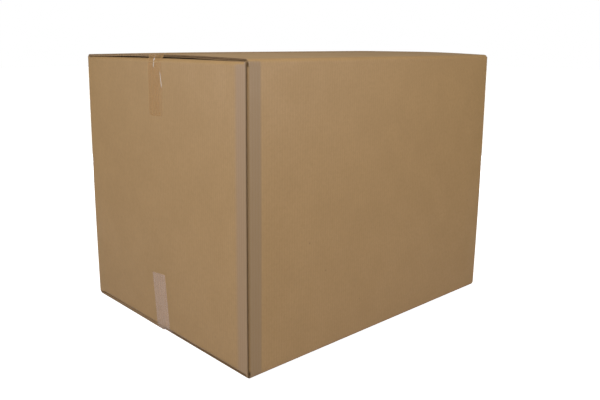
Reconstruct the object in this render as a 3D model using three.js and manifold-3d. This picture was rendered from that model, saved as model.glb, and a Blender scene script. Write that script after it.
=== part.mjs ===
import * as THREE from "three";
import { mergeVertices } from "three/addons/utils/BufferGeometryUtils.js";
import Module from "manifold-3d";

const wasm = await Module();
wasm.setup();

// A closed and taped slotted carton, folded from one sheet of double-wall board.
// Millimetres. +X runs along the long side, +Y to the back and +Z up.
// The origin lies under the middle of the bottom, at the level that the carton stands on.

// Folded walls, measured outside
const boxLength = 762;
const boxWidth = 592;
const endPanelHeight = 576.5;

// Board: three liners with two layers of flutes between them
const linerThickness = 0.4;
const outerFluteHeight = 2.2;
const innerFluteHeight = 3.1;
const openFluteDepth = 3;

// Creases: a long flap's board is crushed at its fold and recovers further in
const insideFoldRadius = 1.5;
const creasedThickness = 4.5;
const creaseReach = 90;

// Cuts between the flaps, and the room that folded layers leave each other
const slotWidth = 9;
const flapEndInset = 2;
const skewedFlapInset = 7;
const seamGap = 2;
const foldedLayerGap = 0.3;

// The top long flaps spring up from their folds and level out before the seam
const topFlapSpring = 5.2;
const springSpan = 210;

// Glued joint at the near vertical edge
const glueTabWidth = 38;
const glueLine = 0.6;

// Packing tape
const tapeWidth = 48;
const tapeThickness = 0.3;
const tapeGap = 0.1;
const topTapeTail = 122;
const bottomTapeTail = 112;
const topTapeOffset = -6;
const bottomTapeOffset = -8;
const bottomTailLean = 5;

// Levels and sizes that follow
const board = 3 * linerThickness + outerFluteHeight + innerFluteHeight;
const foldRadius = board + insideFoldRadius;
const bottomFace = tapeThickness + tapeGap;
const endPanelBottom = bottomFace + board + foldedLayerGap;
const endPanelTop = endPanelBottom + endPanelHeight;
const longFoldTop = endPanelTop + foldedLayerGap + creasedThickness;
const seamTop = longFoldTop + topFlapSpring;
const wallBottom = endPanelBottom + foldRadius;
const wallTop = endPanelTop - foldRadius;
const slotOvershoot = foldRadius / 2;
const flapReach = (boxWidth - seamGap) / 2;
const tapeWrap = foldRadius + 6;
const legOverlap = 1;
const cutMargin = 1;
const weldDistance = 0.02;
const foldSteps = 6;
const flapSteps = 8;
const halfTurn = Math.PI;
const quarterTurn = Math.PI / 2;

// Flute layers as depths below the outer liner's face
const outerFlutes = [linerThickness, linerThickness + outerFluteHeight];
const innerFlutes = [outerFlutes[1] + linerThickness, board - linerThickness];

const kraftBoard = new THREE.MeshStandardMaterial({ color: 0xac8b69, roughness: 0.85, metalness: 0 });
const clearTape = new THREE.MeshStandardMaterial({ color: 0xb0926f, roughness: 0.3, metalness: 0 });

// Solids for joining and cutting

function solidOf(geometry) {
  geometry.deleteAttribute("normal");
  geometry.deleteAttribute("uv");
  const merged = mergeVertices(geometry, 1e-5);
  const vertProperties = new Float32Array(merged.attributes.position.array);
  const triVerts = new Uint32Array(merged.index.array);
  return new wasm.Manifold(new wasm.Mesh({ numProp: 3, vertProperties, triVerts }));
}

function joined(solids) {
  return solids.reduce((whole, solid) => whole.add(solid));
}

// Corners closer than the weld distance become one, and the faces that this closes up are left out
function welded(geometry) {
  const merged = mergeVertices(geometry, weldDistance);
  const corners = merged.index.array;
  const kept = [];
  for (let face = 0; face < corners.length; face += 3) {
    const [a, b, c] = corners.slice(face, face + 3);
    if (a !== b && b !== c && c !== a) kept.push(a, b, c);
  }
  merged.setIndex(kept);
  return merged;
}

function meshOf(name, solid, material) {
  const { vertProperties, triVerts } = solid.getMesh();
  const raw = new THREE.BufferGeometry();
  raw.setAttribute("position", new THREE.BufferAttribute(vertProperties, 3));
  raw.setIndex(new THREE.BufferAttribute(triVerts, 1));
  const geometry = welded(raw);
  geometry.computeVertexNormals();
  const mesh = new THREE.Mesh(geometry, material);
  mesh.name = name;
  return mesh;
}

function block(lowX, lowY, lowZ, highX, highY, highZ) {
  const geometry = new THREE.BoxGeometry(highX - lowX, highY - lowY, highZ - lowZ);
  geometry.translate((lowX + highX) / 2, (lowY + highY) / 2, (lowZ + highZ) / 2);
  return solidOf(geometry);
}

// An outline in the YZ plane pulled along X from one end to the other
function pulledAlongX(points, startX, endX) {
  const geometry = new THREE.ExtrudeGeometry(new THREE.Shape(points), {
    depth: endX - startX,
    bevelEnabled: false,
  });
  const upright = new THREE.Matrix4().makeBasis(
    new THREE.Vector3(0, 1, 0),
    new THREE.Vector3(0, 0, 1),
    new THREE.Vector3(1, 0, 0),
  );
  geometry.applyMatrix4(upright);
  geometry.translate(startX, 0, 0);
  return geometry;
}

// Walls: a ring around the contents, with the glue tab inside the end panel at the near edge

function wallSection() {
  const x = boxLength / 2;
  const y = boxWidth / 2;
  const tabFace = -x + board + glueLine;
  const ring = new THREE.Shape();
  ring.moveTo(-x, -y);
  ring.lineTo(-x + board, -y);
  ring.lineTo(-x + board, -y + foldRadius);
  ring.lineTo(tabFace, -y + foldRadius);
  ring.absarc(tabFace + foldRadius, -y + foldRadius, foldRadius, halfTurn, halfTurn + quarterTurn);
  ring.absarc(x - foldRadius, -y + foldRadius, foldRadius, -quarterTurn, 0);
  ring.absarc(x - foldRadius, y - foldRadius, foldRadius, 0, quarterTurn);
  ring.absarc(-x + foldRadius, y - foldRadius, foldRadius, quarterTurn, halfTurn);
  ring.closePath();

  const room = new THREE.Path();
  room.moveTo(-x + board, -y + glueTabWidth);
  room.lineTo(tabFace + board, -y + glueTabWidth);
  room.absarc(tabFace + foldRadius, -y + foldRadius, insideFoldRadius, halfTurn, halfTurn + quarterTurn);
  room.absarc(x - foldRadius, -y + foldRadius, insideFoldRadius, -quarterTurn, 0);
  room.absarc(x - foldRadius, y - foldRadius, insideFoldRadius, 0, quarterTurn);
  room.absarc(-x + foldRadius, y - foldRadius, insideFoldRadius, quarterTurn, halfTurn);
  room.closePath();
  ring.holes.push(room);
  return ring;
}

function wallRing(low, high) {
  const geometry = new THREE.ExtrudeGeometry(wallSection(), {
    depth: high - low,
    bevelEnabled: false,
    curveSegments: foldSteps,
  });
  geometry.translate(0, 0, low);
  return solidOf(geometry);
}

// The slots run past the start of the folds, so the wall is cut down wherever a flap folds away from it
function wallCutDowns() {
  const high = wallTop + slotOvershoot + cutMargin;
  const low = wallBottom - slotOvershoot - cutMargin;
  const shortRange = boxWidth / 2 - slotWidth;
  const longRange = boxLength / 2 - flapEndInset;
  const cuts = [];
  for (const [near, far] of [[low, wallBottom], [wallTop, high]]) {
    for (const face of [-boxWidth / 2, boxWidth / 2]) {
      cuts.push(block(-longRange, face - slotWidth, near, longRange, face + slotWidth, far));
    }
    for (const face of [-boxLength / 2, boxLength / 2]) {
      cuts.push(block(face - slotWidth, -shortRange, near, face + slotWidth, shortRange, far));
    }
  }
  return joined(cuts);
}

// The raw vertical edge of the end panel: its flutes show between the liners,
// and the slots part it from the long flaps above and below it
function jointEdgeCuts() {
  const x = -boxLength / 2;
  const y = -boxWidth / 2;
  const low = wallBottom - slotOvershoot - cutMargin;
  const high = wallTop + slotOvershoot + cutMargin;
  const cuts = [outerFlutes, innerFlutes].map(([near, far]) =>
    block(x + near, y - cutMargin, low, x + far, y + openFluteDepth, high));
  const tabFace = x + board + glueLine;
  for (const level of [wallTop + slotOvershoot, wallBottom - slotOvershoot - glueLine]) {
    cuts.push(block(x - cutMargin, y - cutMargin, level, tabFace, y + foldRadius, level + glueLine));
  }
  return joined(cuts);
}

// Flaps: each is drawn with its fold along X, its wall's outer face at Y = 0 and its fold's top at Z = 0

// The board at a fold and along the flap, between two depths below the outer face
function flapSection(flap, nearDepth, farDepth) {
  const thicknessAt = (y) => {
    const recovered = Math.min((y - foldRadius) / creaseReach, 1);
    return flap.creasedThickness + (board - flap.creasedThickness) * recovered;
  };
  const riseAt = (y) => {
    const sprung = Math.min((y - foldRadius) / springSpan, 1);
    return flap.spring * Math.sin(sprung * quarterTurn);
  };
  const skinAt = (depth) => {
    const points = [new THREE.Vector2(depth, -flap.legDrop)];
    for (let step = 0; step <= foldSteps; step += 1) {
      const angle = (step / foldSteps) * quarterTurn;
      const across = foldRadius - depth;
      const upward = foldRadius - (depth / board) * flap.creasedThickness;
      points.push(new THREE.Vector2(
        foldRadius - across * Math.cos(angle),
        upward * Math.sin(angle) - foldRadius,
      ));
    }
    const bendSteps = [...Array(flapSteps).keys()].map((step) => (step + 1) / flapSteps);
    const stops = flap.spring > 0 ? bendSteps.map((share) => share * springSpan) : [creaseReach];
    for (const y of [...stops.map((stop) => foldRadius + stop), flap.reach]) {
      points.push(new THREE.Vector2(y, riseAt(y) - (depth / board) * thicknessAt(y)));
    }
    return points;
  };
  return [...skinAt(nearDepth), ...skinAt(farDepth).reverse()];
}

function flapGeometry(flap, section, start, end) {
  const geometry = pulledAlongX(section, start, end);
  if (flap.side === "bottom") geometry.rotateY(halfTurn);
  geometry.rotateZ(flap.turn);
  geometry.translate(...flap.place);
  return geometry;
}

function flapSolid(flap) {
  const sheet = solidOf(flapGeometry(flap, flapSection(flap, 0, board), flap.start, flap.end));
  const cuts = [];
  for (const [near, far] of [outerFlutes, innerFlutes]) {
    const longer = { ...flap, legDrop: flap.legDrop + cutMargin, reach: flap.reach + cutMargin };
    const section = flapSection(longer, near, far);
    cuts.push(flapGeometry(flap, section, flap.start - cutMargin, flap.start + openFluteDepth));
    cuts.push(flapGeometry(flap, section, flap.end - openFluteDepth, flap.end + cutMargin));
  }
  return sheet.subtract(joined(cuts.map(solidOf)));
}

function longFlap(side, back) {
  const top = side === "top";
  const half = boxLength / 2 - flapEndInset;
  const skewed = !top && !back;
  return {
    side,
    turn: back ? halfTurn : 0,
    place: [0, (back ? boxWidth : -boxWidth) / 2, top ? longFoldTop : bottomFace],
    start: -half,
    end: skewed ? boxLength / 2 - skewedFlapInset : half,
    reach: flapReach,
    legDrop: (top ? longFoldTop - wallTop : wallBottom - bottomFace) + legOverlap,
    creasedThickness,
    spring: top ? topFlapSpring : 0,
  };
}

function shortFlap(side, right) {
  const top = side === "top";
  const half = boxWidth / 2 - slotWidth;
  return {
    side,
    turn: right ? quarterTurn : -quarterTurn,
    place: [(right ? boxLength : -boxLength) / 2, 0, top ? endPanelTop : endPanelBottom],
    start: -half,
    end: half,
    reach: flapReach,
    legDrop: foldRadius + legOverlap,
    creasedThickness: board,
    spring: 0,
  };
}

function carton() {
  const ring = wallRing(wallBottom - slotOvershoot, wallTop + slotOvershoot);
  const pieces = [ring.subtract(wallCutDowns())];
  for (const side of ["top", "bottom"]) {
    for (const far of [false, true]) {
      pieces.push(flapSolid(longFlap(side, far)), flapSolid(shortFlap(side, far)));
    }
  }
  return joined(pieces).subtract(jointEdgeCuts());
}

// Tape: a strip along a seam, over the flaps' ends and onto the end panels

// Half of the strip's path, from the end panel to the middle, at a distance off the board
function tapePath(tape, distance) {
  const panelFace = -boxLength / 2 - distance;
  const flapFace = panelFace + flapEndInset;
  return [
    new THREE.Vector2(panelFace, tape.foldLevel - tape.up * tapeWrap),
    new THREE.Vector2(panelFace, tape.foldLevel - tape.up * foldRadius),
    new THREE.Vector2(flapFace, tape.seamLevel - tape.up * board / 2),
    new THREE.Vector2(flapFace, tape.seamLevel + tape.up * distance),
  ];
}

function tapeStrip(tape) {
  const wholePath = (distance) => {
    const half = tapePath(tape, distance);
    const otherHalf = half.map((point) => new THREE.Vector2(-point.x, point.y)).reverse();
    return [...half, ...otherHalf];
  };
  const outline = [...wholePath(tapeGap), ...wholePath(tapeGap + tapeThickness).reverse()];
  const geometry = new THREE.ExtrudeGeometry(new THREE.Shape(outline), {
    depth: tapeWidth,
    bevelEnabled: false,
  });
  geometry.translate(0, 0, -tapeWidth / 2);
  geometry.rotateX(quarterTurn);
  geometry.translate(0, tape.offset, 0);
  return solidOf(geometry);
}

// The tail lies flat on an end panel and may lean to one side
function tapeTail(tape, lean, onRight) {
  const length = -tape.up * (tape.tail - foldRadius);
  const corners = [[-0.5, 0], [0.5, 0], [0.5, 1], [-0.5, 1]];
  const outline = corners.map(([across, along]) => new THREE.Vector2(across * tapeWidth, along * length));
  const inside = boxLength / 2 + tapeGap;
  const outside = inside + tapeThickness;
  const [start, end] = onRight ? [inside, outside] : [-outside, -inside];
  const geometry = pulledAlongX(outline, start, end);
  geometry.rotateX(-THREE.MathUtils.degToRad(lean));
  geometry.translate(0, tape.offset, tape.foldLevel - tape.up * foldRadius);
  return solidOf(geometry);
}

function tapeSolid(tape) {
  return joined([tapeStrip(tape), tapeTail(tape, tape.nearLean, false), tapeTail(tape, 0, true)]);
}

const topTape = {
  up: 1,
  foldLevel: endPanelTop,
  seamLevel: seamTop,
  tail: topTapeTail,
  offset: topTapeOffset,
  nearLean: 0,
};

const bottomTape = {
  up: -1,
  foldLevel: endPanelBottom,
  seamLevel: bottomFace,
  tail: bottomTapeTail,
  offset: bottomTapeOffset,
  nearLean: bottomTailLean,
};

const tapedCarton = new THREE.Group();
tapedCarton.add(meshOf("carton", carton(), kraftBoard));
tapedCarton.add(meshOf("top_tape", tapeSolid(topTape), clearTape));
tapedCarton.add(meshOf("bottom_tape", tapeSolid(bottomTape), clearTape));

export default tapedCarton;
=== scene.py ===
import bpy
import bmesh
import math
from mathutils import Matrix, Vector, noise


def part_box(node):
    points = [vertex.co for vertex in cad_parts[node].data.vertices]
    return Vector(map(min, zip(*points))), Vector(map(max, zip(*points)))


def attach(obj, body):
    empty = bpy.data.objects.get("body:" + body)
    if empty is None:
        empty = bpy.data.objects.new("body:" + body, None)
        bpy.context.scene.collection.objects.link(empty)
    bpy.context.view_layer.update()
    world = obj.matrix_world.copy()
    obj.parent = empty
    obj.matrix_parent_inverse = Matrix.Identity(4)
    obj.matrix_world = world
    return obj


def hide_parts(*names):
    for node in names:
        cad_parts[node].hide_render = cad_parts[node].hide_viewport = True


# Closed and taped carton of double-wall kraft board.
# Lengths in the dictionaries are millimetres, and everything in Blender is in metres.

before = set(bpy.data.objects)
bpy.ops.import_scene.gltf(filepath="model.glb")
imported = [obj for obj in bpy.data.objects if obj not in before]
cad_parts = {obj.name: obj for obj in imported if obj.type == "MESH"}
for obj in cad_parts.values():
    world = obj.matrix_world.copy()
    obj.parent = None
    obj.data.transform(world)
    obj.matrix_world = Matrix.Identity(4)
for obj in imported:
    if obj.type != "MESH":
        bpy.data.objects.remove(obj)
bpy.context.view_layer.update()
mm = 0.001

cartonLow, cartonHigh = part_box("carton")
halfLength = cartonHigh.x / mm
halfWidth = cartonHigh.y / mm
seamTop = cartonHigh.z / mm
bottomFace = cartonLow.z / mm
root = "root"

board = {
    "thickness": 6.5,
    "liner": 0.4,
    "outerFlutes": 2.2,
    "innerFlutes": 3.1,
    "outerPitch": 6.4,        # flute spacing under the outer liner
    "innerPitch": 7.9,
    "medium": 0.3,            # the wavy paper itself
    "openDepth": 3.6,         # how far the flutes stand open at a cut edge
    "crushedDepth": 0.4,      # the same where the edge was pressed shut
    "foldRadius": 8.0,
    "creased": 4.5,           # thickness left in a long flap's crease
    "flapSpring": 5.2,        # the top long flaps rise this much from the fold to the seam
    "layerGap": 0.3,          # between a long flap and the short flap under it
}

handling = {
    "pinch": 1.4,             # the walls stand out this much more at half height than at the folds
    "endBow": 1.0,            # the end panels' folds bow up between the corners
    "unevenness": 0.35,       # the panels' slow waves, inwards only
    "wavelength": 210.0,
}

# Levels that follow from the board and from the frame
endPanelBottom = bottomFace + board["thickness"] + board["layerGap"]
foldRadius = board["foldRadius"]
longFoldTop = seamTop - board["flapSpring"]
endPanelTop = longFoldTop - board["creased"] - board["layerGap"]
wallBottom = endPanelBottom + foldRadius
wallTop = endPanelTop - foldRadius


def smooth(value, low, high):
    share = min(max((value - low) / (high - low), 0), 1)
    return share * share * (3 - 2 * share)


def spread(low, high, count):
    return [low + (high - low) * step / (count - 1) for step in range(count)]


def handled(x, y, z):
    # a box that has been packed and carried: pinched at its folds, and a little uneven
    height = min(max((z - bottomFace) / (endPanelTop - bottomFace), 0), 1)
    wave = noise.noise(Vector((x, y, z)) / handling["wavelength"]) * 0.5 + 0.5
    inwards = handling["pinch"] * (1 - math.sin(math.pi * height))
    inwards += handling["unevenness"] * wave * math.sin(math.pi * height)
    x *= 1 - inwards / halfLength
    y *= 1 - inwards / halfWidth
    return Vector((x, y, z)) * mm


def bowed(x, y, z):
    # the end panels' top folds rise between the corners, where no long flap holds them down
    across = max(math.cos(math.pi * y / (2 * halfWidth)), 0)
    lift = handling["endBow"] * across * smooth(z, 300, endPanelTop)
    return handled(x, y, z + lift)


# Folded sheets: a strip of faces at one end of the path is extruded from station to station.
# A station gives the sheet's place at a depth below its outer face.

def foldSheet(name, columns, stations, place, flutesAlong):
    bpy.ops.object.select_all(action="DESELECT")
    bpy.ops.mesh.primitive_grid_add(x_subdivisions=len(columns) - 1, y_subdivisions=1, size=1)
    sheet = bpy.context.object
    sheet.name = name
    bpy.ops.object.mode_set(mode="EDIT")
    bm = bmesh.from_edit_mesh(sheet.data)
    bm.verts.layers.int.new("column")
    bm.verts.layers.int.new("inner")
    bm.verts.layers.float_vector.new("sheetPlace")
    column, inner = bm.verts.layers.int["column"], bm.verts.layers.int["inner"]
    ordered = sorted(bm.verts, key=lambda v: (round(v.co.x, 5), v.co.y))
    for index, vert in enumerate(ordered):
        vert[column], vert[inner] = divmod(index, 2)
    run, before = 0.0, None
    for number, station in enumerate(stations):
        if number:
            bpy.ops.mesh.extrude_region()
            bm = bmesh.from_edit_mesh(sheet.data)
        column, inner = bm.verts.layers.int["column"], bm.verts.layers.int["inner"]
        sheetPlace = bm.verts.layers.float_vector["sheetPlace"]
        here = Vector(station(0))
        run += (here - before).length if before else 0
        before = here
        for vert in bm.verts:
            if not vert.select:
                continue
            along, near, far = columns[vert[column]]
            depth = far if vert[inner] else near
            vert.co = place(along, *station(depth))
            across, down = (along, run) if flutesAlong else (run, along)
            vert[sheetPlace] = Vector((across, down, depth)) * mm
    bpy.ops.mesh.select_all(action="SELECT")
    bpy.ops.mesh.normals_make_consistent(inside=False)
    bpy.ops.object.mode_set(mode="OBJECT")
    return sheet


def joinPieces(name, pieces):
    bpy.ops.object.select_all(action="DESELECT")
    for piece in pieces:
        piece.select_set(True)
    bpy.context.view_layer.objects.active = pieces[0]
    bpy.ops.object.join()
    whole = bpy.context.object
    whole.name = name
    whole.data.name = name
    return whole


# The board's five layers, as depths below the outer face
linerDepth = board["liner"]
outerFlutes = (linerDepth, linerDepth + board["outerFlutes"])
middleLiner = (outerFlutes[1], outerFlutes[1] + linerDepth)
innerFlutes = (middleLiner[1], middleLiner[1] + board["innerFlutes"])
linerLayers = [(0, linerDepth), middleLiner, (innerFlutes[1], board["thickness"])]
fluteLayers = [(outerFlutes, board["outerPitch"]), (innerFlutes, board["innerPitch"])]


def linerColumns(positions, layer):
    return [(place, layer[0], layer[1]) for place in positions]


def fluteColumns(positions, layer, pitch, phase, depth):
    # past the liners' cut edges one sees the last turn of the wavy paper, then the closed rows behind it
    near, far = layer
    middle, half = (near + far) / 2, board["medium"] / 2
    swing = (far - near) / 2 - half
    turns = spread(0.4, depth - 0.3, 7)
    wave = [(turn, middle + swing * math.cos(2 * math.pi * turn / pitch + phase)) for turn in turns]
    start = [(positions[0] + turn, level - half, level + half) for turn, level in wave]
    end = [(positions[-1] - turn, level - half, level + half) for turn, level in reversed(wave)]
    start.append((positions[0] + depth, near, far))
    end.insert(0, (positions[-1] - depth, near, far))
    between = [(place, near, far) for place in positions[1:-1]]
    return start + between + end


print("stage: walls")

walls = {
    "panelSteps": 12,
    "foldSteps": 6,
    "heightSteps": 16,
    "glueTab": 38.0,
    "glueLine": 0.3,
    "pressed": 0.5,           # share of its thickness that the end panel keeps in the glued joint
    "recovery": 6.0,          # beyond the joint the board swells back in this length
    "slot": 9.0,              # width of the slots, measured from the corners
    "jointSlot": 3.5,         # narrower on the end panel's side of the glued joint
    "slotRise": 7.6,          # between the flaps the corners stand nearly to the end panels' folds
    "fluteSetBack": 3.0,      # depth to which one looks between the liners at the raw edge
}


def straightRun(start, end, inwards, count):
    start, end, inwards = Vector(start), Vector(end), Vector(inwards)
    return [
        lambda depth, at=start.lerp(end, share): at + inwards * depth
        for share in spread(0, 1, count)
    ]


def roundedFold(centre, startAngle, count):
    stations = []
    for angle in spread(startAngle, startAngle - 90, count + 1)[1:-1]:
        outwards = Vector((math.cos(math.radians(angle)), math.sin(math.radians(angle))))
        stations.append(lambda depth, out=outwards: Vector(centre) + out * (foldRadius - depth))
    return stations


def wallStations(setBack):
    x, y, r = halfLength, halfWidth, foldRadius
    steps, folds = walls["panelSteps"], walls["foldSteps"]
    pressed = walls["pressed"]
    tabFold = -x + board["thickness"] * pressed + walls["glueLine"] + r
    slotSide = -y + walls["jointSlot"]
    pressedEnd = -y + walls["glueTab"] + 2
    return (
        straightRun((-x, -y + setBack), (-x, slotSide), (pressed, 0), 2)
        + straightRun((-x, slotSide + 0.5), (-x, pressedEnd), (pressed, 0), 3)
        + straightRun((-x, pressedEnd + walls["recovery"]), (-x, y - r), (1, 0), steps)
        + roundedFold((-x + r, y - r), 180, folds)
        + straightRun((-x + r, y), (x - r, y), (0, -1), steps)
        + roundedFold((x - r, y - r), 90, folds)
        + straightRun((x, y - r), (x, -y + r), (-1, 0), steps)
        + roundedFold((x - r, -y + r), 0, folds)
        + straightRun((x - r, -y), (tabFold, -y), (0, 1), steps)
        + roundedFold((tabFold, -y + r), -90, folds)
        + straightRun((tabFold - r, -y + r), (tabFold - r, -y + walls["glueTab"]), (1, 0), 2)
    )


def inSlot(x, y):
    along, across = walls["slot"], walls["slot"]
    if x < 0 and y < 0:
        along, across = board["thickness"] * walls["pressed"] + 0.1, walls["jointSlot"]
    return abs(x) > halfLength - along and abs(y) > halfWidth - across - 0.1


def wallPlace(z, x, y):
    # the corners run on between the flaps, up and down
    if inSlot(x, y):
        if z > wallTop - 1:
            z += walls["slotRise"]
        elif z < wallBottom + 1:
            z -= walls["slotRise"]
    return bowed(x, y, z)


def buildWalls():
    heights = spread(wallBottom, wallTop, walls["heightSteps"])
    parts = []
    for layer in linerLayers:
        columns = linerColumns(heights, layer)
        parts.append(foldSheet("wallLiner", columns, wallStations(0), wallPlace, False))
    for layer, _ in fluteLayers:
        columns = linerColumns(heights, layer)
        parts.append(foldSheet("wallFlutes", columns, wallStations(walls["fluteSetBack"]), wallPlace, False))
    return parts


print("stage: flaps")

flaps = {
    "endInset": 3.5,          # the far long flaps end this far back from the end panels' faces
    "nearInset": 7.0,         # the near ones end behind the end panel's raw edge at the glued joint
    "seamGap": 2.0,
    "creaseReach": 90.0,      # distance in which the crushed board recovers
    "springSpan": 210.0,
    "heldDown": 0.45,         # share of the spring that the tape's tail takes out at the near end
    "heldReach": 70.0,
    "foldSteps": 7,
    "bendSteps": 9,
    "lengthSteps": 15,
}


def flapStations(reach, legDrop, foldThickness, spring):
    # the leg up the wall, the fold, then the flap: across from the wall's face, and up from the fold's top
    thickness, r = board["thickness"], foldRadius
    stations = [lambda depth: (depth, -legDrop)]
    for angle in spread(0, 90, flaps["foldSteps"] + 1):
        cosine, sine = math.cos(math.radians(angle)), math.sin(math.radians(angle))
        stations.append(lambda depth, c=cosine, s=sine: (
            r - (r - depth) * c,
            (r - depth * foldThickness / thickness) * s - r,
        ))
    for across in spread(r, reach, flaps["bendSteps"] + 3)[1:]:
        recovered = min((across - r) / flaps["creaseReach"], 1)
        here = (foldThickness + (thickness - foldThickness) * recovered) / thickness
        rise = spring * math.sin(min((across - r) / flaps["springSpan"], 1) * math.pi / 2)
        stations.append(lambda depth, a=across, t=here, h=rise: (a, h - depth * t))
    return stations


def buildFlap(name, ends, stations, place, openDepth=board["openDepth"]):
    positions = spread(ends[0], ends[1], flaps["lengthSteps"])
    parts = []
    for layer in linerLayers:
        parts.append(foldSheet(name, linerColumns(positions, layer), stations, place, True))
    for number, (layer, pitch) in enumerate(fluteLayers):
        columns = fluteColumns(positions, layer, pitch, 1.1 + number, openDepth)
        parts.append(foldSheet(name + "Flutes", columns, stations, place, True))
    return parts


def nearEndHold(x):
    return 1 - flaps["heldDown"] * math.exp(-(x + halfLength) / flaps["heldReach"])


def buildLongFlaps():
    parts = []
    reach = halfWidth - flaps["seamGap"] / 2
    topLeg = longFoldTop - wallTop
    bottomLeg = wallBottom - bottomFace
    for side in (-1, 1):
        def topPlace(along, across, up):
            up *= nearEndHold(along) if up > 0 else 1
            return handled(along, side * (halfWidth - across), longFoldTop + up)

        def bottomPlace(along, across, up):
            return handled(along, side * (halfWidth - across), bottomFace - up)

        inset = flaps["nearInset"] if side < 0 else flaps["endInset"]
        ends = (-halfLength + inset, halfLength - inset)
        topStations = flapStations(reach, topLeg, board["creased"], board["flapSpring"])
        bottomStations = flapStations(reach, bottomLeg, board["creased"], 0)
        openDepth = board["openDepth"] if side < 0 else board["crushedDepth"]
        parts += buildFlap("topLong", ends, topStations, topPlace, openDepth)
        parts += buildFlap("bottomLong", ends, bottomStations, bottomPlace, openDepth)
    return parts


def buildShortFlaps():
    parts = []
    reach = halfWidth - flaps["seamGap"] / 2
    stations = flapStations(reach, foldRadius, board["thickness"], 0)
    for side in (-1, 1):
        nearSlot = walls["jointSlot"] + 0.5 if side < 0 else walls["slot"]
        ends = (-halfWidth + nearSlot, halfWidth - walls["slot"])

        def topPlace(along, across, up):
            return bowed(side * (halfLength - across), along, endPanelTop + up)

        def bottomPlace(along, across, up):
            return handled(side * (halfLength - across), along, endPanelBottom - up)

        parts += buildFlap("topShort", ends, stations, topPlace)
        parts += buildFlap("bottomShort", ends, stations, bottomPlace)
    return parts


cartonParts = buildWalls() + buildLongFlaps() + buildShortFlaps()
flutedParts = [part for part in cartonParts if "Flutes" in part.name]
linerParts = [part for part in cartonParts if "Flutes" not in part.name]


print("stage: tape")

tapes = {
    "width": 50.0,
    "film": 0.06,
    "lift": 0.05,             # glue layer between the film and the board
    "topTail": 115.5,
    "bottomTail": 123.0,
    "topOffset": -5.0,
    "bottomOffset": -6.0,
    "bottomLean": 6.0,        # degrees that the near bottom tail leans to the left
    "acrossSteps": 49,
    "tailSteps": 12,
    "runSteps": 30,
    "tooth": 0.8,             # zigzag of the torn end
    "cornerRadius": 7.0,
    "dip": 3.5,               # the film follows the near flap's ends, which stand further back
}


def tapePath(up, foldLevel, seamLevel, tail):
    # points from the near tail's end, over the seam, to the far tail's end
    wallFace, flapFace = halfLength, halfLength - flaps["endInset"]
    tailHeights = spread(foldLevel - up * tail, foldLevel - up * foldRadius, tapes["tailSteps"])
    near = [Vector((-wallFace, z)) for z in tailHeights]
    bridge = [
        Vector((-wallFace + 0.5, foldLevel - up * foldRadius * 0.4)),
        Vector((-flapFace - 0.3, seamLevel - up * board["thickness"] * 0.7)),
        Vector((-flapFace, seamLevel - up * 1.6)),
        Vector((-flapFace + 0.5, seamLevel - up * 0.4)),
        Vector((-flapFace + 1.6, seamLevel)),
    ]
    run = [Vector((x, seamLevel)) for x in spread(-flapFace + 8, flapFace - 8, tapes["runSteps"])]
    firstHalf = near + bridge
    return firstHalf + run + [Vector((-p.x, p.y)) for p in reversed(firstHalf)]


def tapeStations(points, up):
    stations = []
    for index, point in enumerate(points):
        ahead = points[min(index + 1, len(points) - 1)] - points[max(index - 1, 0)]
        inwards = Vector((ahead.y, -ahead.x)).normalized() * up
        stations.append(lambda depth, at=point, n=inwards: at + n * depth)
    return stations


def roundedCorner(across, radius):
    past = max(abs(across) - (tapes["width"] / 2 - radius), 0)
    return radius - math.sqrt(max(radius * radius - past * past, 0))


def buildTape(name, up, foldLevel, seamLevel, tail, offset, lean, cornerRadius):
    columns = []
    for across in spread(-tapes["width"] / 2, tapes["width"] / 2, tapes["acrossSteps"]):
        columns.append((across, -tapes["lift"] - tapes["film"], -tapes["lift"]))
    tailEnd = foldLevel - up * tail
    pivot = foldLevel - up * foldRadius
    spacing = tapes["width"] / (tapes["acrossSteps"] - 1)

    def place(across, x, z):
        y = across
        if abs(z - tailEnd) < 0.01 and abs(abs(x) - halfLength) < 1:
            z += up * tapes["tooth"] * (round(across / spacing) % 2)
            z += up * roundedCorner(across, cornerRadius)
        if abs(x) > halfLength - 7:
            overEdge = smooth(abs(z - pivot), 4, 12) if up * (z - pivot) > 0 else 0
            x -= math.copysign(tapes["dip"] * overEdge * smooth(-(y + offset), -1, 3), x)
        if x < -halfLength + 1 and lean:
            turn = math.radians(lean) * smooth(abs(z - pivot), 0, 12)
            y, z = (y * math.cos(turn) + (z - pivot) * math.sin(turn),
                    pivot - y * math.sin(turn) + (z - pivot) * math.cos(turn))
        if up > 0 and z > longFoldTop:
            z = longFoldTop + (z - longFoldTop) * nearEndHold(x)
        return handled(x, y + offset, z)

    points = tapePath(up, foldLevel, seamLevel, tail)
    return foldSheet(name, columns, tapeStations(points, up), place, True)


topTape = buildTape("topTape", 1, endPanelTop, seamTop, tapes["topTail"], tapes["topOffset"], 0,
                    tapes["cornerRadius"])
bottomTape = buildTape("bottomTape", -1, endPanelBottom, bottomFace, tapes["bottomTail"],
                       tapes["bottomOffset"], tapes["bottomLean"], 0)


print("stage: materials")


def linear(hexColour):
    channels = [int(hexColour[i:i + 2], 16) / 255 for i in (1, 3, 5)]
    return [c / 12.92 if c <= 0.04045 else ((c + 0.055) / 1.055) ** 2.4 for c in channels] + [1]


def newMaterial(name):
    material = bpy.data.materials.new(name)
    material.use_nodes = True
    tree = material.node_tree
    return material, tree, tree.nodes["Principled BSDF"]


def setNode(tree, node, settings):
    # a key is one of the node's own properties, or a socket's name or number, which takes a value or a link
    for key, value in settings.items():
        if isinstance(key, str) and key not in node.inputs:
            setattr(node, key, value)
        elif isinstance(value, bpy.types.NodeSocket):
            tree.links.new(value, node.inputs[key])
        else:
            node.inputs[key].default_value = value


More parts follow.
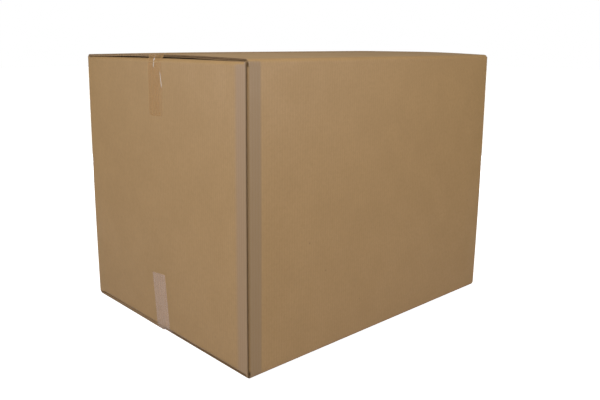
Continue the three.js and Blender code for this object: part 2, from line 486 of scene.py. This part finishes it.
def addNode(tree, kind, output, settings):
    node = tree.nodes.new("ShaderNode" + kind)
    setNode(tree, node, settings)
    return node.outputs[output]


kraft = {
    "colour": "#a78352",
    "dark": "#8e6e3f",
    # the crushed strips' greyer and darker tints are painted sheen and shade
    "endBandSheenAndShade": "#987c5d",
    "sideBandSheenAndShade": "#8b7150",
    "speck": "#5b4027",
    "mottleSize": 70.0,       # large and small clouds in the pulp
    "cloudSize": 6.0,
    "grainSize": 2.0,
    "fibreLength": 12.0,      # drawn a few times coarser than real fibres, to show at this distance
    "fibreWidth": 1.2,
    "speckSpacing": 16.0,
    "washboard": 0.05,        # how far the flutes print through the liner
    "grainDepth": 0.05,
    "crushDepth": 0.3,
    "endBand": 29.0,          # crushed strips beside the glued joint
    "sideBand": 35.0,
    "sheenAndShadeShare": 0.82,        # how much of the strips' painted sheen and shade shows
    "marks": ((-224, 235), (-178, 169), (-73, 81)),
    "markSize": 3.0,
}

softStep = {"interpolation_type": "SMOOTHSTEP"}
colourMix = {"data_type": "RGBA"}


def kraftLiner():
    # unbleached kraft liner, pressed smooth in the mill: matt, faintly striped by the flutes under it
    material, tree, surface = newMaterial("Unbleached kraft liner")
    place = addNode(tree, "TexCoord", "Object", {})
    sheet = addNode(tree, "Attribute", "Vector", {"attribute_name": "sheetPlace"})
    x = addNode(tree, "SeparateXYZ", "X", {0: place})
    y = addNode(tree, "SeparateXYZ", "Y", {0: place})
    across = addNode(tree, "SeparateXYZ", "X", {0: sheet})
    dark = linear(kraft["dark"])

    # pulp clouds, large and small, and short fibres along the flutes
    mottleScale = 1000 / kraft["mottleSize"]
    mottle = addNode(tree, "TexNoise", 0, {"Vector": place, "Scale": mottleScale, "Detail": 5.0})
    share = addNode(tree, "MapRange", 0, softStep | {0: mottle, 1: 0.3, 2: 0.7, 4: 0.18})
    colour = addNode(tree, "Mix", 2, colourMix | {0: share, 6: linear(kraft["colour"]), 7: dark})
    cloud = addNode(tree, "TexNoise", 0, {"Vector": place, "Scale": 1000 / kraft["cloudSize"], "Detail": 3.0})
    share = addNode(tree, "MapRange", 0, softStep | {0: cloud, 1: 0.35, 2: 0.7, 4: 0.22})
    colour = addNode(tree, "Mix", 2, colourMix | {0: share, 6: colour, 7: dark})
    fibreScale = (1000 / kraft["fibreWidth"], 1000 / kraft["fibreLength"], 0)
    stretched = addNode(tree, "Mapping", 0, {"Vector": sheet, "Scale": fibreScale})
    fibres = addNode(tree, "TexNoise", 0, {"Vector": stretched, "Scale": 1.0, "Detail": 3.0})
    share = addNode(tree, "MapRange", 0, softStep | {0: fibres, 1: 0.45, 2: 0.75, 4: 0.3})
    colour = addNode(tree, "Mix", 2, colourMix | {0: share, 6: colour, 7: dark})

    # flutes print through as soft stripes
    turnsPerMetre = 1000 / board["outerPitch"]
    turns = addNode(tree, "Math", 0, {"operation": "MULTIPLY", 0: across, 1: 2 * math.pi * turnsPerMetre})
    stripes = addNode(tree, "Math", 0, {"operation": "SINE", 0: turns})
    share = addNode(tree, "MapRange", 0, softStep | {0: stripes, 1: -1.0, 2: 1.0, 4: 0.18})
    colour = addNode(tree, "Mix", 2, colourMix | {0: share, 6: colour, 7: dark})

    # crushed and burnished strips on both sides of the glued joint; their greyer, darker tint is painted
    # sheen and shade, and the flutes show in them as darker stripes
    strips = []
    for facing, run, width, softness, bandSheenAndShade in (
        (x, y, kraft["endBand"], 7, kraft["endBandSheenAndShade"]),
        (y, x, kraft["sideBand"], 3, kraft["sideBandSheenAndShade"]),
    ):
        faceEdge = -(halfLength if facing is x else halfWidth)
        runEdge = -(halfWidth if facing is x else halfLength) + width
        onFace = {0: facing, 1: (faceEdge + 3.5) * mm, 2: (faceEdge + 1.5) * mm}
        inStrip = {0: run, 1: (runEdge + softness) * mm, 2: (runEdge - softness) * mm}
        strip = addNode(tree, "Math", 0, {
            "operation": "MULTIPLY",
            0: addNode(tree, "MapRange", 0, softStep | onFace),
            1: addNode(tree, "MapRange", 0, softStep | inStrip),
        })
        share = addNode(tree, "Math", 0, {"operation": "MULTIPLY", 0: strip, 1: kraft["sheenAndShadeShare"]})
        # painted sheen and shade over the crushed strip
        colour = addNode(tree, "Mix", 2, colourMix | {0: share, 6: colour, 7: linear(bandSheenAndShade)})
        strips.append(strip)
    crushed = addNode(tree, "Math", 0, {"operation": "MAXIMUM", 0: strips[0], 1: strips[1]})
    ridges = addNode(tree, "MapRange", 0, softStep | {0: stripes, 1: -0.2, 2: 1.0, 4: 0.3})
    share = addNode(tree, "Math", 0, {"operation": "MULTIPLY", 0: crushed, 1: ridges})
    colour = addNode(tree, "Mix", 2, colourMix | {0: share, 6: colour, 7: dark})

    # dark specks of bark, and three scuffs on the near long side
    specks = addNode(tree, "TexVoronoi", "Distance", {"Vector": place, "Scale": 1000 / kraft["speckSpacing"]})
    speck = addNode(tree, "MapRange", 0, softStep | {0: specks, 1: 0.045, 2: 0.02, 4: 0.35})
    for markX, markZ in kraft["marks"]:
        centre = Vector((markX, -halfWidth, markZ)) * mm
        away = addNode(tree, "VectorMath", "Value", {"operation": "DISTANCE", 0: place, 1: centre})
        size = kraft["markSize"] * mm
        mark = addNode(tree, "MapRange", 0, softStep | {0: away, 1: size, 2: size / 10, 4: 0.4})
        speck = addNode(tree, "Math", 0, {"operation": "MAXIMUM", 0: speck, 1: mark})
    colour = addNode(tree, "Mix", 2, colourMix | {0: speck, 6: colour, 7: linear(kraft["speck"])})

    # relief in metres: washboard, paper grain and the crushed strips
    grain = addNode(tree, "TexNoise", 0, {"Vector": place, "Scale": 1000 / kraft["grainSize"], "Detail": 4.0})
    relief = addNode(tree, "Math", 0, {"operation": "MULTIPLY", 0: stripes, 1: kraft["washboard"] * mm / 2})
    for height, depth in ((grain, kraft["grainDepth"]), (crushed, -kraft["crushDepth"])):
        relief = addNode(tree, "Math", 0, {"operation": "MULTIPLY_ADD", 0: height, 1: depth * mm, 2: relief})
    setNode(tree, surface, {
        "Base Color": colour,
        "Roughness": addNode(tree, "MapRange", 0, softStep | {0: mottle, 1: 0.3, 2: 0.7, 3: 0.49, 4: 0.55}),
        "Normal": addNode(tree, "Bump", 0, {"Height": relief, "Strength": 0.7, "Distance": 1.0}),
        "IOR": 1.5,
        "Sheen Weight": 0.03,
    })
    return material


fluting = {
    "colour": "#9a7f5a",
    "dark": "#7e6346",
    "fuzzSize": 2.5,
}


def flutedMedium():
    # recycled fluting paper seen in the cut edge: greyer and darker than the liners
    material, tree, surface = newMaterial("Fluting medium")
    place = addNode(tree, "TexCoord", "Object", {})
    fuzz = addNode(tree, "TexNoise", 0, {"Vector": place, "Scale": 1000 / fluting["fuzzSize"], "Detail": 3.0})
    share = addNode(tree, "MapRange", 0, softStep | {0: fuzz, 1: 0.3, 2: 0.7})
    light, dark = linear(fluting["colour"]), linear(fluting["dark"])
    colour = addNode(tree, "Mix", 2, colourMix | {0: share, 6: light, 7: dark})
    setNode(tree, surface, {"Base Color": colour, "Roughness": 0.9, "IOR": 1.5})
    return material


film = {
    "wettedColour": "#c99c62",
    "wettedCover": 0.22,
    # the bottom film's pale, greyish-pink tint and its cover are a painted reflection of the pale floor and
    # surroundings
    "paintedReflectionColour": "#dcc0a8",
    "paintedReflectionCover": 0.26,
    "creaseWidth": 5.0,
    "creaseLength": 150.0,
    # the film lifts over slivers of air, and their whitish streaks are painted glints
    "airGlintColour": "#e6dccf",
    "airGlintCover": 0.6,
    "looseCover": 0.45,       # share of the film's tint left where it has lifted off the board
    "looseFrom": -19.5,       # y past which the top film's near tail stands off
    # painted glints over slivers of air under that tail: y and z of both ends, and the width
    "glintSlivers": (((-2, 591), (0, 564), 4.5), ((-23.5, 562), (-29, 524), 4.5)),
}


def packingFilm(name, colour, cover, looseFrom, glintSlivers):
    # clear polypropylene film on acrylic glue: it wets the liner and adds a soft gloss
    material, tree, surface = newMaterial(name)
    place = addNode(tree, "TexCoord", "Object", {})
    sheet = addNode(tree, "Attribute", "Vector", {"attribute_name": "sheetPlace"})
    x = addNode(tree, "SeparateXYZ", "X", {0: place})
    y = addNode(tree, "SeparateXYZ", "Y", {0: place})
    z = addNode(tree, "SeparateXYZ", "Z", {0: place})
    creaseScale = (1000 / film["creaseWidth"], 1000 / film["creaseLength"], 0)
    stretched = addNode(tree, "Mapping", 0, {"Vector": sheet, "Scale": creaseScale})
    creases = addNode(tree, "TexNoise", 0, {"Vector": stretched, "Scale": 1.0, "Detail": 3.0})
    coverRange = {1: 0.3, 2: 0.7, 3: cover - 0.05, 4: cover + 0.05}
    alpha = addNode(tree, "MapRange", 0, softStep | {0: creases} | coverRange)
    tailEdge = (-halfLength + 4) * mm
    onTail = addNode(tree, "Math", 0, {"operation": "LESS_THAN", 0: x, 1: tailEdge})

    if looseFrom is not None:
        beside = {0: y, 1: (looseFrom + 1.5) * mm, 2: (looseFrom - 1.5) * mm}
        loose = addNode(tree, "Math", 0, {
            "operation": "MULTIPLY", 0: onTail, 1: addNode(tree, "MapRange", 0, softStep | beside)})
        kept = addNode(tree, "MapRange", 0, {0: loose, 3: 1.0, 4: film["looseCover"]})
        alpha = addNode(tree, "Math", 0, {"operation": "MULTIPLY", 0: alpha, 1: kept})

    tint = linear(colour)
    for (startY, startZ), (endY, endZ), width in glintSlivers:
        # painted glint: a slanting band between the two ends, fading at its sides and ends
        slope = (endY - startY) / (endZ - startZ)
        slant = {"operation": "MULTIPLY_ADD", 0: z, 1: -slope, 2: (slope * startZ - startY) * mm}
        offset = addNode(tree, "Math", 0, {"operation": "ADD", 0: y, 1: addNode(tree, "Math", 0, slant)})
        offset = addNode(tree, "Math", 0, {"operation": "ABSOLUTE", 0: offset})
        side = addNode(tree, "MapRange", 0, softStep | {0: offset, 1: width / 2 * mm, 2: 0.0})
        middle, half = (startZ + endZ) / 2 * mm, abs(startZ - endZ) / 2 * mm
        away = addNode(tree, "Math", 0, {"operation": "SUBTRACT", 0: z, 1: middle})
        away = addNode(tree, "Math", 0, {"operation": "ABSOLUTE", 0: away})
        end = addNode(tree, "MapRange", 0, softStep | {0: away, 1: half, 2: half * 0.6})
        airGlint = addNode(tree, "Math", 0, {"operation": "MULTIPLY", 0: side, 1: end})
        airGlint = addNode(tree, "Math", 0, {"operation": "MULTIPLY", 0: airGlint, 1: onTail})
        tint = addNode(tree, "Mix", 2, colourMix | {0: airGlint, 6: tint, 7: linear(film["airGlintColour"])})
        white = addNode(tree, "Math", 0, {"operation": "MULTIPLY", 0: airGlint, 1: film["airGlintCover"]})
        alpha = addNode(tree, "Math", 0, {"operation": "MAXIMUM", 0: alpha, 1: white})

    setNode(tree, surface, {
        "Base Color": tint,
        "Alpha": alpha,
        "Roughness": addNode(tree, "MapRange", 0, softStep | {0: creases, 1: 0.3, 2: 0.7, 3: 0.30, 4: 0.42}),
        "Normal": addNode(tree, "Bump", 0, {"Height": creases, "Strength": 0.3, "Distance": 0.2 * mm}),
        "IOR": 1.49,
    })
    return material


def giveMaterial(pieces, material):
    for piece in pieces:
        piece.data.materials.clear()
        piece.data.materials.append(material)


giveMaterial(linerParts, kraftLiner())
giveMaterial(flutedParts, flutedMedium())
wettedFilm = packingFilm("Clear packing film, wetted out", film["wettedColour"], film["wettedCover"],
                         film["looseFrom"], film["glintSlivers"])
# bottom film: its pale tint is a painted reflection
reflectionTintedFilm = packingFilm("Clear packing film, painted reflection", film["paintedReflectionColour"], film["paintedReflectionCover"], None, ())
giveMaterial([topTape], wettedFilm)
giveMaterial([bottomTape], reflectionTintedFilm)

carton = joinPieces("cartonBoard", cartonParts)


print("stage: finish")

for piece in (carton, topTape, bottomTape):
    bpy.ops.object.select_all(action="DESELECT")
    piece.select_set(True)
    bpy.context.view_layer.objects.active = piece
    bpy.ops.object.shade_smooth_by_angle(angle=math.radians(30))

for piece, node, slot in (
    (carton, "carton", "kraft_board"),
    (topTape, "top_tape", "clear_tape"),
    (bottomTape, "bottom_tape", "clear_tape"),
):
    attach(piece, root)
    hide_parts(node)


print("stage: floor, light and camera")

studio = {
    "floorSize": 30.0,
    "floorColour": "#cfcecb",
    "floorGlow": 0.90,        # the table is lit from below, so that shadows stay soft
    "skyFill": 0.40,
    "skyTint": "#ffeeca",
    "lampTint": "#dae5ff",
    "cameraPlace": (-1.0800, -1.1629, 0.6142),
    "cameraPitch": -11.427,   # degrees above the horizon
    "cameraRoll": 0.164,
    "cameraTurn": 41.730,     # degrees from the back towards the right
    "focalPixels": 655.03,
    "imageWidth": 600,
    "imageHeight": 400,
    "viewCentre": (278.08, 175.74),
    "sensor": 36.0,
}


def buildStage():
    bpy.ops.object.select_all(action="DESELECT")
    bpy.ops.mesh.primitive_plane_add(size=studio["floorSize"], location=(0, 0, 0))
    floor = bpy.context.object
    floor.name = "studioFloor"
    material, tree, surface = newMaterial("Backlit studio paper")
    seen = addNode(tree, "LightPath", "Is Camera Ray", {})
    setNode(tree, surface, {
        "Base Color": linear(studio["floorColour"]),
        "Roughness": 0.9,
        "Emission Color": (1, 1, 1, 1),
        "Emission Strength": addNode(tree, "MapRange", 0, {0: seen, 4: studio["floorGlow"]}),
    })
    floor.data.materials.append(material)


def buildSky():
    # white behind the object, and an even, weaker fill on it
    world = bpy.data.worlds.new("Pale studio")
    bpy.context.scene.world = world
    world.use_nodes = True
    tree = world.node_tree
    seen = addNode(tree, "LightPath", "Is Camera Ray", {})
    fill = linear(studio["skyTint"])
    setNode(tree, tree.nodes["Background"], {
        "Color": addNode(tree, "Mix", 2, colourMix | {0: seen, 6: fill, 7: (1, 1, 1, 1)}),
        "Strength": addNode(tree, "MapRange", 0, {0: seen, 3: studio["skyFill"], 4: 1.0}),
    })


def addSoftbox(name, place, target, size, power):
    bpy.ops.object.light_add(type="AREA", location=place)
    lamp = bpy.context.object
    lamp.name = name
    lamp.data.shape = "RECTANGLE"
    lamp.data.size, lamp.data.size_y = size
    lamp.data.energy = power
    lamp.data.color = linear(studio["lampTint"])[:3]
    lamp.rotation_euler = (Vector(target) - Vector(place)).to_track_quat("-Z", "Y").to_euler()
    return lamp


def buildCamera():
    bpy.ops.object.camera_add(location=studio["cameraPlace"])
    camera = bpy.context.object
    camera.name = "photoCamera"
    camera.rotation_mode = "XYZ"
    turned = Matrix.Rotation(-math.radians(studio["cameraTurn"]), 4, "Z")
    tipped = Matrix.Rotation(math.radians(90 + studio["cameraPitch"]), 4, "X")
    rolled = Matrix.Rotation(math.radians(studio["cameraRoll"]), 4, "Z")
    camera.rotation_euler = (turned @ tipped @ rolled).to_euler()
    width, height = studio["imageWidth"], studio["imageHeight"]
    camera.data.sensor_width = studio["sensor"]
    camera.data.lens = studio["focalPixels"] * studio["sensor"] / width
    camera.data.shift_x = (width / 2 - studio["viewCentre"][0]) / width
    camera.data.shift_y = (studio["viewCentre"][1] - height / 2) / width
    camera.data.clip_start = 0.01
    bpy.context.scene.camera = camera


buildStage()
addSoftbox("endLight", (-1.55, -0.58, 1.25), (-0.38, -0.1, 0.45), (0.6, 0.6), 17.7)
addSoftbox("sideLight", (-0.42, -1.12, 1.2), (-0.2, -0.3, 0.45), (0.6, 0.6), 7.4)
addSoftbox("backFill", (0.35, 2.3, 0.3), (0, 0.3, 0.3), (1.1, 0.4), 15)
addSoftbox("farFill", (2.3, 0.4, 0.3), (0.38, 0, 0.3), (1.1, 0.4), 15)
addSoftbox("leftWindow", (-1.5, 0.75, 0.65), (-0.38, -0.1, 0.5), (0.6, 0.6), 4.4)
addSoftbox("rightWindow", (0.5, -1.6, 0.7), (-0.15, -0.3, 0.5), (0.6, 0.6), 6)
buildSky()
bpy.context.scene.view_settings.view_transform = "Standard"
buildCamera()
